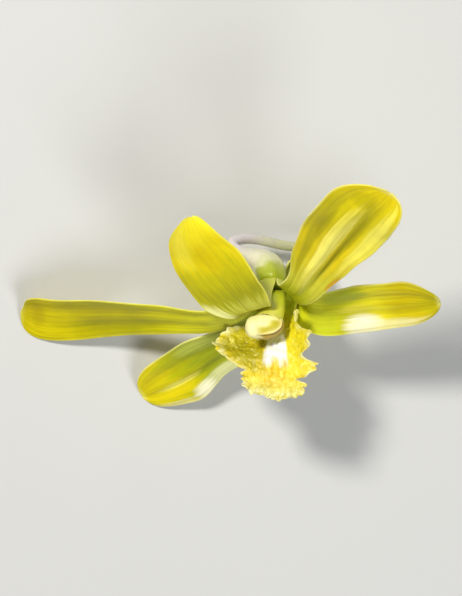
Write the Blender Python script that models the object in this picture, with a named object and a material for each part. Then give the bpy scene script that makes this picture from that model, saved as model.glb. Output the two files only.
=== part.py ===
"""A dendrobium orchid flower, picked with its pedicel and lying face up.

The flower is drawn in a frame of its own, in millimetres: +X is the flower's right as one faces
it, +Y is dorsal, and +Z comes forward out of the throat. The origin is where the column, the
sepals and the petals leave the ovary. Everything hangs on one empty, which turns the flower to
the attitude it rests in on a flat surface and sets its lowest points at height zero.
"""

import math
from collections import namedtuple

import bmesh
import bpy
import numpy as np
from mathutils import Matrix, Vector

MM = 0.001

# Driving dimensions, in millimetres.
TEPAL_THICKNESS = 0.8
LIP_THICKNESS = 0.7
TIP_ROUNDING = 4.2
COLUMN_HALF_WIDTH = 1.9
PEDICEL_RADIUS = 0.8
OVARY_RADIUS = 2.6
OVARY_HEAD_RADIUS = 2.1
CAP_RADII = Vector((3.2, 2.1, 2.0))
CAP_WALL = 0.5
CAP_SKIRT = 0.3
POLLINIUM_RADII = Vector((0.36, 0.34, 0.55))
POLLINIUM_SPACING = (1.0, 0.9)
SEAT_GAP = 0.3

# The callus is the ridge along the middle of the lip, and the frill is the wave of its margins,
# whose pitch is in radians per millimetre.
CALLUS_HEIGHT = 0.9
CALLUS_HALF_WIDTH = 1.3
CALLUS_MIDDLE = 20.0
CALLUS_REACH = 4.5
FRILL_HEIGHT = 0.45
FRILL_START = 11.0
FRILL_GROWTH = 4.0
FRILL_PITCH = 2.3
FRILL_SKEW = 1.5

# How finely the pieces are divided.
BLADE_COLUMNS = 5
HOODED_COLUMNS = 6
LIP_COLUMNS = 12
DORSAL_ROWS = 11
PETAL_ROWS = 13
LATERAL_ROWS = 17
LIP_ROWS = 17
COLUMN_SIDES = 16
CAP_SIDES = 18
POLLINIUM_SIDES = 10
POLLINIUM_RINGS = 6
STEM_STEPS = 5

# The narrowest that a blade's end gets, as the square of a share of its half width, and how
# often the resting attitude is corrected.
BLUNT_END = 0.05
LEVELLING_PASSES = 12

# Attitude at rest: the direction in the flower's frame that starts out as up, the three pieces
# that touch the surface, and the flower direction that is laid along world +Y.
UP_START = Vector((0.50, 0.55, 0.67))
FEET = ("petal_left", "lateral_sepal_left", "pedicel")
LAID_ALONG_Y = Vector((0.27, 0.69, -0.67))

# One station of a midrib. "along" is millimetres from the base, "heading" is how far the midrib
# leans forward of the flower's face, "azimuth" is its clock angle from dorsal towards the
# flower's right, "roll" lifts the clockwise margin forward, "half_width" is measured round the
# section, "cup" is the half angle of the arc that the section follows, and "lean" is the share of
# the half width by which the blade is broader on its clockwise side.
Station = namedtuple("Station", "along heading azimuth roll half_width cup lean", defaults=(0.0,))

DORSAL_SEPAL = (
    Station(0.0, 89, 0, 0, 1.9, 20),
    Station(5.2, 86, 0, 0, 2.3, 18, -0.05),
    Station(7.4, 62, 0, 0, 3.4, 12, -0.10),
    Station(9.6, 12, 0, 0, 5.0, 6, -0.14),
    Station(13.4, -3, 1, 0, 6.1, 2, -0.19),
    Station(19.4, -4, 2, 2, 6.3, -8, -0.30),
    Station(24.8, -6, 3, 4, 5.1, -20, -0.40),
    Station(28.2, -28, 4, 4, 3.7, -26, -0.36),
)
PETAL_RIGHT = (
    Station(0.0, 66, 84, 0, 1.8, 15, 0.12),
    Station(4.0, 42, 76, 0, 2.5, 22, 0.10),
    Station(9.0, 12, 62, 0, 3.6, 22, -0.10),
    Station(18.0, 10, 59, 0, 5.1, 18, -0.18),
    Station(29.0, 9, 62, 0, 6.8, 20, -0.21),
    Station(34.0, 7, 64, 0, 6.4, 19, -0.22),
    Station(39.8, 4, 66, 0, 5.2, 16, -0.18),
)
PETAL_LEFT = (
    Station(0.0, 72, -80, 4, 1.4, 15, 0.0),
    Station(4.0, 48, -74, 8, 1.8, 20, 0.0),
    Station(10.0, 0, -72, 12, 2.8, 22, -0.10),
    Station(21.0, -6, -72, 16, 4.6, 20, -0.06),
    Station(32.0, -5, -73, 15, 5.4, 22, -0.08),
    Station(42.8, -7, -62, 12, 5.0, 18, -0.08),
)
LATERAL_SEPAL_RIGHT = (
    Station(0.0, 8, 106, 0, 0.5, 66),
    Station(1.6, 66, 104, 0, 1.8, 66),
    Station(6.0, 84, 105, 0, 2.6, 66, 0.06),
    Station(11.5, 62, 111, 0, 3.9, 56, 0.10),
    Station(15.0, 14, 116, 0, 4.8, 40, -0.03),
    Station(21.0, -4, 113, 0, 5.3, 22, -0.25),
    Station(29.0, -8, 110, 0, 4.8, 20, -0.26),
    Station(34.6, -12, 108, 0, 3.9, 18, -0.15),
)
LATERAL_SEPAL_LEFT = (
    Station(0.0, 8, -106, 0, 0.5, 66),
    Station(1.6, 62, -106, 0, 1.8, 66),
    Station(6.0, 76, -105, 0, 2.4, 66),
    Station(11.5, 60, -116, 0, 3.7, 55),
    Station(15.0, 16, -116, 0, 4.9, 40, 0.15),
    Station(22.0, 4, -100, 0, 4.4, 22, 0.44),
    Station(31.0, 4, -94, 0, 5.3, 20, 0.24),
    Station(40.6, 2, -90, 0, 4.2, 18, 0.10),
)
LABELLUM = (
    Station(0.0, 76, 215, 0, 0.5, 30),
    Station(6.0, 80, 210, 0, 1.1, 46),
    Station(9.5, 88, 190, 0, 1.9, 56),
    Station(11.8, 92, 182, -4, 3.8, 60, 0.05),
    Station(13.8, 91, 181, -9, 7.0, 66, 0.15),
    Station(16.0, 88, 184, -11, 9.8, 64, 0.20),
    Station(18.2, 76, 194, -4, 9.2, 44, 0.14),
    Station(20.0, 66, 198, 5, 7.4, 18, 0.03),
    Station(21.6, 58, 202, 7, 5.9, 2),
    Station(23.2, 48, 206, 8, 6.2, -16, -0.08),
    Station(26.0, 38, 210, 4, 5.6, -26),
)

# Middle of the column's flat end, under the anther cap.
COLUMN_TIP = Vector((0.9, 0.0, 8.9))

# The column's rings, from its foot in the spur to its end: middle, half width and half height.
COLUMN_RINGS = (
    ((0.9, -2.0, -7.6), 0.3, 0.25),
    ((0.8, -2.0, -7.0), 0.42, 0.34),
    ((0.5, -2.1, -5.0), 0.6, 0.38),
    ((0.2, -2.1, -2.2), 0.85, 0.42),
    ((0.0, -1.7, -0.4), 1.0, 0.55),
    ((0.0, -0.7, 1.0), 1.3, 1.0),
    ((0.1, -0.1, 2.6), COLUMN_HALF_WIDTH, 1.3),
    ((0.5, 0.0, 5.2), COLUMN_HALF_WIDTH, 1.3),
    ((COLUMN_TIP.x, COLUMN_TIP.y, COLUMN_TIP.z - 0.3), 2.3, 1.5),
    (COLUMN_TIP, COLUMN_HALF_WIDTH, 1.2),
)

# Where each blade's midrib starts.
DORSAL_BASE = Vector((0.0, 2.35, -0.1))
PETAL_BASE_RIGHT = Vector((2.25, 0.5, -0.1))
PETAL_BASE_LEFT = Vector((-2.25, 0.55, -0.1))
LATERAL_BASE_RIGHT = Vector((1.5, -3.1, -10.6))
LATERAL_BASE_LEFT = Vector((0.8, -3.1, -10.6))
LABELLUM_BASE = Vector((1.0, -3.3, -8.2))

# Middle of the pedicel from the ovary's top, over the swan neck, to the cut end, with radii.
PEDICEL_ROUTE = (
    ((0.0, 1.1, -0.5), OVARY_HEAD_RADIUS),
    ((0.0, 1.2, -1.7), OVARY_RADIUS),
    ((-0.6, 2.0, -4.0), OVARY_RADIUS),
    ((-2.6, 3.3, -5.2), 1.8),
    ((-5.8, 5.9, -5.6), 1.0),
    ((-6.6, 6.3, -8.4), 0.9),
    ((-4.0, 3.4, -11.0), PEDICEL_RADIUS),
    ((-1.6, -2.4, -13.0), PEDICEL_RADIUS),
    ((1.4, -5.4, -16.2), PEDICEL_RADIUS),
    ((4.8, -7.6, -20.0), 0.9),
)


def clear_scene():
    for thing in list(bpy.data.objects):
        bpy.data.objects.remove(thing, do_unlink=True)


def plant_material(name, colour, roughness):
    material = bpy.data.materials.new(name)
    material.use_nodes = True
    shader = material.node_tree.nodes["Principled BSDF"]
    shader.inputs["Base Color"].default_value = (*colour, 1.0)
    shader.inputs["Roughness"].default_value = roughness
    shader.inputs["Metallic"].default_value = 0.0
    return material


def finish_object(name, data, material, parent):
    """Link one piece of the flower, with its material, under the flower's empty."""
    piece = bpy.data.objects.new(name, data)
    piece.data.materials.append(material)
    bpy.context.scene.collection.objects.link(piece)
    piece.parent = parent
    return piece


def smooth_value(knots, values, at):
    """Cubic curve through the values, with slopes taken from the neighbours."""
    slopes = np.gradient(values, knots)
    index = int(np.clip(np.searchsorted(knots, at) - 1, 0, len(knots) - 2))
    span = knots[index + 1] - knots[index]
    part = (at - knots[index]) / span
    rest = 1.0 - part
    return (
        values[index] * (1 + 2 * part) * rest**2
        + slopes[index] * span * part * rest**2
        + values[index + 1] * part**2 * (3 - 2 * part)
        - slopes[index + 1] * span * part**2 * rest
    )


def station_at(stations, along):
    knots = np.array([station.along for station in stations], dtype=float)
    columns = np.array(stations, dtype=float).T[1:]
    return Station(along, *(smooth_value(knots, column, along) for column in columns))


def midrib_frame(station):
    """Directions along the midrib, across the blade and out of its front face."""
    azimuth = math.radians(station.azimuth)
    heading = math.radians(station.heading)
    outward = Vector((math.sin(azimuth), math.cos(azimuth), 0.0))
    forward = Vector((0.0, 0.0, 1.0))
    along = outward * math.cos(heading) + forward * math.sin(heading)
    across = Vector((math.cos(azimuth), -math.sin(azimuth), 0.0))
    across = Matrix.Rotation(math.radians(-station.roll), 3, along) @ across
    return along, across, across.cross(along)


def midrib_points(stations, base, count):
    """Walk up the midrib in short steps and return evenly spaced (station, point) rows."""
    steps_per_row = 10
    length = stations[-1].along
    step = length / (count * steps_per_row)
    point = base.copy()
    rows = [(station_at(stations, 0.0), point.copy())]
    for row in range(count):
        for small in range(steps_per_row):
            along = (row * steps_per_row + small + 0.5) * step
            direction, _, _ = midrib_frame(station_at(stations, along))
            point = point + direction * step
        rows.append((station_at(stations, (row + 1) * steps_per_row * step), point.copy()))
    return rows


def section_point(station, middle, side, half_width):
    """A point on the arc that the blade's section follows; side runs from -1 to 1."""
    _, across, front = midrib_frame(station)
    half_angle = math.radians(station.cup)
    place = side + station.lean
    if abs(half_angle) < 1e-3:
        return middle + across * half_width * place
    radius = half_width / half_angle
    angle = half_angle * place
    return middle + across * radius * math.sin(angle) + front * radius * (1 - math.cos(angle))


def rounded_width(station, length):
    """The blade's half width, closed in by a round end over the last few millimetres."""
    into_tip = (station.along - (length - TIP_ROUNDING)) / TIP_ROUNDING
    if into_tip <= 0:
        return station.half_width
    return station.half_width * math.sqrt(max(1 - into_tip**2, BLUNT_END))


def blade(name, stations, base, rows, columns, thickness, material, parent, ruffle=None):
    """A thin fleshy blade: a grid laid along the midrib, thickened and softened."""
    length = stations[-1].along
    ribs = midrib_points(stations, base, rows)
    sheet = bmesh.new()
    bmesh.ops.create_grid(sheet, x_segments=rows, y_segments=columns, size=1.0)
    for corner in sheet.verts:
        row = round((corner.co.x + 1) / 2 * rows)
        side = corner.co.y
        station, middle = ribs[row]
        point = section_point(station, middle, side, rounded_width(station, length))
        if ruffle:
            point = point + ruffle(station, side)
        corner.co = point * MM
    data = bpy.data.meshes.new(name)
    sheet.to_mesh(data)
    sheet.free()
    data.shade_smooth()
    piece = finish_object(name, data, material, parent)
    solidify = piece.modifiers.new("Thickness", "SOLIDIFY")
    solidify.thickness = thickness * MM
    solidify.offset = 0.0
    solidify.use_even_offset = True
    soften = piece.modifiers.new("Soften", "SUBSURF")
    soften.levels = 1
    soften.render_levels = 1
    return piece


def lip_ruffle(station, side):
    """Raise the callus along the middle of the lip and frill its front margins."""
    _, _, front = midrib_frame(station)
    callus = math.exp(-((side * station.half_width / CALLUS_HALF_WIDTH) ** 2))
    callus *= max(0.0, 1 - ((station.along - CALLUS_MIDDLE) / CALLUS_REACH) ** 2)
    frill = min(max((station.along - FRILL_START) / FRILL_GROWTH, 0.0), 1.0)
    frill *= side**4 * math.sin(FRILL_PITCH * station.along + FRILL_SKEW * side)
    return front * (CALLUS_HEIGHT * callus + FRILL_HEIGHT * frill)


def tube(name, route, material, parent):
    """A smooth tapering stem through the route's points, closed flat at both ends."""
    curve = bpy.data.curves.new(name, "CURVE")
    curve.dimensions = "3D"
    curve.bevel_depth = MM
    curve.bevel_resolution = 3
    curve.use_fill_caps = True
    curve.resolution_u = STEM_STEPS
    curve.render_resolution_u = STEM_STEPS
    spline = curve.splines.new("NURBS")
    spline.points.add(len(route) - 1)
    spline.order_u = 4
    spline.use_endpoint_u = True
    for control, (place, radius) in zip(spline.points, route):
        control.co = (*(Vector(place) * MM), 1.0)
        control.radius = radius
    return finish_object(name, curve, material, parent)


def solid_object(name, solid, material, parent):
    """Turn a finished bmesh into an object whose sharp edges stay crisp."""
    data = bpy.data.meshes.new(name)
    solid.to_mesh(data)
    solid.free()
    data.shade_smooth()
    data.set_sharp_from_angle(angle=math.radians(50))
    return finish_object(name, data, material, parent)


def column(material, parent):
    """The column, with its foot running back along the roof of the spur.

    Each ring is an ellipse, given by its middle, half width and half height, and set square to
    the line through its neighbours.
    """
    middles = [Vector(middle) for middle, _, _ in COLUMN_RINGS]
    solid = bmesh.new()
    loops = []
    for index, (middle, half_width, half_height) in enumerate(COLUMN_RINGS):
        ahead = (middles[min(index + 1, len(COLUMN_RINGS) - 1)] - middles[max(index - 1, 0)]).normalized()
        high = ahead.cross(Vector((1.0, 0.0, 0.0))).normalized()
        wide = high.cross(ahead)
        turn = Matrix((wide, high, ahead)).transposed().to_4x4()
        size = Matrix.Diagonal((half_width * MM, half_height * MM, 1.0, 1.0))
        ring_matrix = Matrix.Translation(Vector(middle) * MM) @ turn @ size
        bmesh.ops.create_circle(solid, segments=COLUMN_SIDES, radius=1.0, matrix=ring_matrix)
        solid.edges.ensure_lookup_table()
        loops.append(solid.edges[-COLUMN_SIDES:])
    for near, far in zip(loops, loops[1:]):
        bmesh.ops.bridge_loops(solid, edges=near + far)
    bmesh.ops.holes_fill(solid, edges=loops[0] + loops[-1])
    bmesh.ops.recalc_face_normals(solid, faces=solid.faces)
    return solid_object("column", solid, material, parent)


def anther_cap(material, parent):
    """A hollow helmet that sits over the end of the column."""
    solid = bmesh.new()
    bmesh.ops.create_uvsphere(solid, u_segments=CAP_SIDES, v_segments=CAP_SIDES // 2, radius=MM)
    bmesh.ops.scale(solid, vec=CAP_RADII, verts=solid.verts)
    bmesh.ops.bisect_plane(
        solid,
        geom=solid.verts[:] + solid.edges[:] + solid.faces[:],
        plane_co=Vector((0.0, 0.0, -CAP_SKIRT * MM)),
        plane_no=Vector((0.0, 0.0, 1.0)),
        clear_inner=True,
    )
    cap = solid_object("anther_cap", solid, material, parent)
    cap.location = (COLUMN_TIP + Vector((0.0, 0.0, SEAT_GAP))) * MM
    wall = cap.modifiers.new("Wall", "SOLIDIFY")
    wall.thickness = CAP_WALL * MM
    wall.offset = -1.0
    return cap


def pollinia(material, parent):
    """Four waxy pollen masses, in two pairs, side by side under the cap."""
    middle = COLUMN_TIP + Vector((0.0, 0.0, SEAT_GAP + POLLINIUM_RADII.z))
    wide, high = POLLINIUM_SPACING
    places = [Vector((x * wide, y * high, 0.0)) for x in (-0.5, 0.5) for y in (-0.5, 0.5)]
    for number, place in enumerate(places, start=1):
        solid = bmesh.new()
        bmesh.ops.create_uvsphere(solid, u_segments=POLLINIUM_SIDES, v_segments=POLLINIUM_RINGS, radius=MM)
        bmesh.ops.scale(solid, vec=POLLINIUM_RADII, verts=solid.verts)
        piece = solid_object(f"pollinium_{number}", solid, material, parent)
        piece.location = (middle + place) * MM


def world_vertices(piece):
    """The piece's evaluated vertices in world space, one row each."""
    depsgraph = bpy.context.evaluated_depsgraph_get()
    evaluated = piece.evaluated_get(depsgraph)
    mesh = evaluated.to_mesh()
    flat = np.empty(len(mesh.vertices) * 3)
    mesh.vertices.foreach_get("co", flat)
    matrix = np.array(evaluated.matrix_world)
    evaluated.to_mesh_clear()
    return flat.reshape(-1, 3) @ matrix[:3, :3].T + matrix[:3, 3]


def lay_down(flower, pieces):
    """Turn the flower until its three feet share one level, then set them at height zero."""
    feet = [world_vertices(piece) for piece in pieces if piece.name in FEET]
    up = np.array(UP_START.normalized())
    for _ in range(LEVELLING_PASSES):
        touch = [foot[np.argmin(foot @ up)] for foot in feet]
        normal = np.cross(touch[1] - touch[0], touch[2] - touch[0])
        normal /= np.linalg.norm(normal)
        up = normal if normal @ up > 0 else -normal
    z_axis = Vector(up)
    y_axis = (LAID_ALONG_Y - z_axis * LAID_ALONG_Y.dot(z_axis)).normalized()
    x_axis = y_axis.cross(z_axis)
    flower.rotation_mode = "QUATERNION"
    flower.rotation_quaternion = Matrix((x_axis, y_axis, z_axis)).to_quaternion()
    bpy.context.view_layer.update()
    cloud = np.vstack([world_vertices(piece) for piece in pieces])
    low = cloud.min(axis=0)
    high = cloud.max(axis=0)
    flower.location = (-(low[0] + high[0]) / 2, -(low[1] + high[1]) / 2, -low[2])
    bpy.context.view_layer.update()


def build():
    clear_scene()
    flower = bpy.data.objects.new("flower", None)
    bpy.context.scene.collection.objects.link(flower)
    tepal = plant_material("tepal", (0.62, 0.63, 0.08), 0.5)
    lip = plant_material("lip", (0.85, 0.72, 0.10), 0.5)
    pale = plant_material("pale_stem", (0.75, 0.80, 0.55), 0.5)
    cream = plant_material("cream", (0.90, 0.85, 0.62), 0.45)
    pollen = plant_material("pollen", (0.90, 0.62, 0.08), 0.4)
    for name, stations, base, rows, columns in (
        ("dorsal_sepal", DORSAL_SEPAL, DORSAL_BASE, DORSAL_ROWS, BLADE_COLUMNS),
        ("petal_right", PETAL_RIGHT, PETAL_BASE_RIGHT, PETAL_ROWS, BLADE_COLUMNS),
        ("petal_left", PETAL_LEFT, PETAL_BASE_LEFT, PETAL_ROWS, BLADE_COLUMNS),
        ("lateral_sepal_right", LATERAL_SEPAL_RIGHT, LATERAL_BASE_RIGHT, LATERAL_ROWS, HOODED_COLUMNS),
        ("lateral_sepal_left", LATERAL_SEPAL_LEFT, LATERAL_BASE_LEFT, LATERAL_ROWS, HOODED_COLUMNS),
    ):
        blade(name, stations, base, rows, columns, TEPAL_THICKNESS, tepal, flower)
    blade("labellum", LABELLUM, LABELLUM_BASE, LIP_ROWS, LIP_COLUMNS, LIP_THICKNESS, lip, flower,
          lip_ruffle)
    tube("pedicel", PEDICEL_ROUTE, pale, flower)
    column(cream, flower)
    anther_cap(cream, flower)
    pollinia(pollen, flower)
    bpy.context.view_layer.update()
    lay_down(flower, [thing for thing in bpy.data.objects if thing.type != "EMPTY"])


build()
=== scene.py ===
# %% [markdown]
# # A dendrobium orchid flower
#
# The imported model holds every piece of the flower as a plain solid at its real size. This lesson
# dresses it: each plain blade is rebuilt with the veins, folds, frills and thin edges of the
# living flower, and gets a material that is painted by rules and not by pictures.
#
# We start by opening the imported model. Its pieces come in selected, and an operator acts on all
# that is selected, so the first thing to do is to let go of everything.

# %% Open the frame
import math
from collections import namedtuple

import bpy
import numpy as np
from mathutils import Matrix, Vector, noise


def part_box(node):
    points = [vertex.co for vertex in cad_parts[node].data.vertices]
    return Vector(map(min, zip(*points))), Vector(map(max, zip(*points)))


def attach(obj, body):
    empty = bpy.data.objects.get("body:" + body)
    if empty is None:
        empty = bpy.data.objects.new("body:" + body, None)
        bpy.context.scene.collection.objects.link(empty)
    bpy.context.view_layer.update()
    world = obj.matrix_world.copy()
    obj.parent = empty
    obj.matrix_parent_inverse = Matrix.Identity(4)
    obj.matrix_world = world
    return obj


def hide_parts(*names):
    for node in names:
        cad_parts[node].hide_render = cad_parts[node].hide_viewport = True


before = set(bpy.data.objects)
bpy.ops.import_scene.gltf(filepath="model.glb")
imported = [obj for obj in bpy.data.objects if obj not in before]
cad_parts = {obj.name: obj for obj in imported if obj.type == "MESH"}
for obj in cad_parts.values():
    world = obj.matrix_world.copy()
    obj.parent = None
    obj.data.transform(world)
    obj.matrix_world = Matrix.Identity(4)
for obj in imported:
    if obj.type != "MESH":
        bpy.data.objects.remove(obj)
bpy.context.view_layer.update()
bpy.ops.object.select_all(action="DESELECT")
print("pieces in the frame:", ", ".join(sorted(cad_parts)))

# %% [markdown]
# ## The flower's own directions
#
# A flower is easiest to describe as one faces it: right, dorsal (towards the top sepal) and
# front (out of the throat). The flower lies tilted, so these differ from the world's axes. Four
# pollen masses sit in a rectangle under the anther cap, square to the flower, so the middles of
# their boxes give its directions. We then work in millimetres in the flower's own frame and let
# one matrix carry every finished mesh to its place.

# %% Find the flower's own directions
MM = 0.001
COLUMN_TIP = Vector((0.9, 0.0, 8.9))
POLLEN_HEIGHT = 0.85


def box_middle(node):
    low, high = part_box(node)
    return (low + high) / 2


mass_1, mass_2, mass_3, mass_4 = (box_middle(f"pollinium_{number}") for number in (1, 2, 3, 4))
RIGHT = (mass_3 - mass_1 + mass_4 - mass_2).normalized()
FRONT = RIGHT.cross(mass_2 - mass_1 + mass_4 - mass_3).normalized()
DORSAL = FRONT.cross(RIGHT)
TURN = Matrix((RIGHT, DORSAL, FRONT)).transposed()
pollen_middle = (mass_1 + mass_2 + mass_3 + mass_4) / 4
HEART = pollen_middle - TURN @ (COLUMN_TIP + Vector((0.0, 0.0, POLLEN_HEIGHT))) * MM
TO_PLACE = Matrix.Translation(HEART) @ TURN.to_4x4() @ Matrix.Scale(MM, 4)
print("heart of the flower, mm:", [round(value / MM, 2) for value in HEART])

# %% [markdown]
# ## Camera
#
# The flower is looked at from its upper right and from in front. It lies on its back, so the
# camera ends up almost straight above it. The view is framed by measuring how far the solids
# reach across and up the picture, and by backing off until they fill most of its width.

# %% Place the camera
PICTURE_WIDTH, PICTURE_HEIGHT = 462, 596
LENS = 350.0
SENSOR = 36.0
FILL = 0.90
NEAREST_SEEN = 0.01
# Both directions are in the flower's own right, dorsal and front.
VIEWED_FROM = Vector((0.504, 0.488, 0.713))
UP_IN_VIEW = Vector((0.271, 0.694, -0.667))

toward_viewer = TURN @ VIEWED_FROM.normalized()
picture_up = TURN @ UP_IN_VIEW
picture_right = picture_up.cross(toward_viewer).normalized()
picture_up = toward_viewer.cross(picture_right)

corners = np.vstack([
    np.array([corner.co[:] for corner in node.data.vertices]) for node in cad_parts.values()
])
across = corners @ np.array(picture_right)
upward = corners @ np.array(picture_up)
spread = across.max() - across.min()
aim = picture_right * (across.max() + across.min()) / 2
aim += picture_up * (upward.max() + upward.min()) / 2
aim += toward_viewer * toward_viewer.dot(HEART)
width_at_one_metre = SENSOR / LENS * PICTURE_WIDTH / PICTURE_HEIGHT
distance = spread / FILL / width_at_one_metre

bpy.ops.object.camera_add(location=aim + toward_viewer * distance)
camera = bpy.context.object
camera.name = "view_camera"
camera.data.lens = LENS
camera.data.sensor_width = SENSOR
camera.data.clip_start = NEAREST_SEEN
camera.rotation_mode = "QUATERNION"
camera_axes = Matrix((picture_right, picture_up, toward_viewer)).transposed()
camera.rotation_quaternion = camera_axes.to_quaternion()
bpy.context.scene.camera = camera
print(f"camera {distance:.3f} m away, the flower is {spread / MM:.1f} mm across the picture")

# %% [markdown]
# ## Floor and light
#
# A thin waxy petal shows its shape by soft shading, so every lamp is a round panel that is wider
# than the flower. The main one hangs above the viewer's left shoulder. A broader, weaker one
# lights what faces down and right, and a third skims the far edges. The floor is plain and pale.

# %% Lay the floor and hang the lamps
def studio_lamp(name, place, width, power, colour):
    """A round lamp aimed at the flower; its place is right, up and near in the view, in metres."""
    sideways, upwards, height = place
    place = HEART + picture_right * sideways + picture_up * upwards + toward_viewer * height
    bpy.ops.object.light_add(type="AREA", location=place)
    lamp = bpy.context.object
    lamp.name = name
    lamp.data.shape = "DISK"
    lamp.data.size = width
    lamp.data.energy = power
    lamp.data.color = colour
    lamp.rotation_mode = "QUATERNION"
    lamp.rotation_quaternion = (place - HEART).to_track_quat("Z", "Y")


studio_lamp("key_lamp", (-0.20, 0.20, 0.53), width=0.10, power=3.5, colour=(1.0, 0.97, 0.92))
studio_lamp("fill_lamp", (0.25, -0.30, 0.42), width=0.30, power=1.8, colour=(0.95, 0.97, 1.0))
studio_lamp("edge_lamp", (0.15, 0.55, 0.12), width=0.22, power=0.4, colour=(1.0, 1.0, 1.0))

world = bpy.data.worlds.new("soft_room")
world.use_nodes = True
room_light = world.node_tree.nodes["Background"]
room_light.inputs["Color"].default_value = (0.92, 0.95, 1.0, 1.0)
room_light.inputs["Strength"].default_value = 0.20
bpy.context.scene.world = world
bpy.context.scene.view_settings.view_transform = "Standard"

FLOOR_WIDTH = 1.6
bpy.ops.mesh.primitive_plane_add(size=FLOOR_WIDTH, location=(0.0, 0.0, 0.0))
floor = bpy.context.object
floor.name = "pale_floor"
floor_paint = bpy.data.materials.new("pale_floor_paint")
floor_paint.use_nodes = True
floor_shader = floor_paint.node_tree.nodes["Principled BSDF"]
floor_shader.inputs["Base Color"].default_value = (0.56, 0.56, 0.54, 1.0)
floor_shader.inputs["Roughness"].default_value = 0.85
floor.data.materials.append(floor_paint)

# %% [markdown]
# ## Small helpers for shader nodes
#
# Every material below is a tree of nodes. A few helpers keep them readable: one adds a node and
# fills its sockets, others do sums, mix two colours, ease a step or let a value swing about a
# middle. A socket is given either a plain value or another node's output, which is then linked.
# An effect that several materials share is a node group, built once and used by name.

# %% Node helpers
def fill_socket(tree, socket, value):
    if isinstance(value, bpy.types.NodeSocket):
        tree.links.new(value, socket)
    else:
        socket.default_value = value


def add_node(tree, kind, sockets=None, **settings):
    made = tree.nodes.new(kind)
    for name, value in settings.items():
        setattr(made, name, value)
    for name, value in (sockets or {}).items():
        fill_socket(tree, made.inputs[name], value)
    return made


def sums(tree, operation, *values):
    made = add_node(tree, "ShaderNodeMath", operation=operation)
    for socket, value in zip(made.inputs, values):
        fill_socket(tree, socket, value)
    return made.outputs[0]


def mixed(tree, share, below, above, how="MIX"):
    """Mix two colours; a Mix node keeps its colour sockets at 6 and 7, and the result at 2."""
    made = add_node(tree, "ShaderNodeMix", data_type="RGBA", blend_type=how)
    for number, value in ((0, share), (6, below), (7, above)):
        fill_socket(tree, made.inputs[number], value)
    return made.outputs[2]


def eased(tree, value, low, high):
    """0 below low, 1 above high, and a smooth step between; low may be the larger."""
    made = add_node(tree, "ShaderNodeMapRange", interpolation_type="SMOOTHSTEP")
    for name, given in (("Value", value), ("From Min", low), ("From Max", high)):
        fill_socket(tree, made.inputs[name], given)
    return made.outputs["Result"]


def swing(tree, value, spread, middle=0.0):
    """Let a value that runs from 0 to 1 swing by spread in all about a middle."""
    return sums(tree, "MULTIPLY_ADD", value, spread, middle - spread / 2)


print("node helpers ready")

# %% Group helpers
def new_group(name, inputs, outputs):
    """A node group of plain numbers: inputs as (name, value) pairs and outputs as names."""
    group = bpy.data.node_groups.new(name, "ShaderNodeTree")
    for socket_name, value in inputs:
        socket = group.interface.new_socket(socket_name, in_out="INPUT", socket_type="NodeSocketFloat")
        socket.default_value = value
    for socket_name in outputs:
        group.interface.new_socket(socket_name, in_out="OUTPUT", socket_type="NodeSocketFloat")
    inside = group.nodes.new("NodeGroupInput")
    outside = group.nodes.new("NodeGroupOutput")
    return group, inside.outputs, outside.inputs


def use_group(tree, group, **values):
    """Place a group; an underscore in a value's name stands for a space in the input's."""
    made = tree.nodes.new("ShaderNodeGroup")
    made.node_tree = group
    for name, value in values.items():
        fill_socket(tree, made.inputs[name.replace("_", " ")], value)
    return made.outputs


print("group helpers ready")

# %% [markdown]
# ## Lengthwise veins
#
# A petal's veins run from its foot to its tip and close up where it narrows. Every blade below
# carries measures of its own on its mesh. Two of them are "along", 0 at the foot and 1 at the
# tip, and "side", -1 at one margin and 1 at the other. Lines of equal "side" run just as veins
# do, so a cosine of it draws them, and a little noise keeps them from looking ruled.

# %% Build the vein group
veins, given, result = new_group(
    "lengthwise_veins",
    [("Side", 0.0), ("Along", 0.0), ("Count", 9.0), ("Sharpness", 10.0)],
    ["Line", "Streak"],
)
wander_place = add_node(veins, "ShaderNodeCombineXYZ", {
    "X": sums(veins, "MULTIPLY", given["Along"], 3.0),
    "Y": sums(veins, "MULTIPLY", given["Side"], 1.5),
})
wander = add_node(veins, "ShaderNodeTexNoise", {
    "Vector": wander_place.outputs[0], "Scale": 1.6, "Detail": 2.0,
})
wandering_side = sums(veins, "ADD", given["Side"], swing(veins, wander.outputs[0], 0.16))
phase = sums(veins, "MULTIPLY", sums(veins, "MULTIPLY", wandering_side, given["Count"]), math.pi / 2)
line = sums(veins, "POWER", sums(veins, "ABSOLUTE", sums(veins, "COSINE", phase)), given["Sharpness"])
veins.links.new(line, result["Line"])
streak_place = add_node(veins, "ShaderNodeCombineXYZ", {
    "X": sums(veins, "MULTIPLY", given["Along"], 1.3),
    "Y": sums(veins, "MULTIPLY", wandering_side, 7.0),
})
streak = add_node(veins, "ShaderNodeTexNoise", {
    "Vector": streak_place.outputs[0], "Scale": 1.4, "Detail": 4.0, "Roughness": 0.62,
})
veins.links.new(eased(veins, streak.outputs[0], 0.30, 0.70), result["Streak"])
print("vein group:", len(veins.nodes), "nodes")

# %% [markdown]
# ## Soft patches
#
# Colour on a petal comes in soft fields: gold towards the tip, cream at one margin, olive in a
# fold. Each is an oval with a smooth edge, given by its middle and half sizes in "side" and
# "along". A little noise, handed in as "Ragged", breaks its outline.

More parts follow.
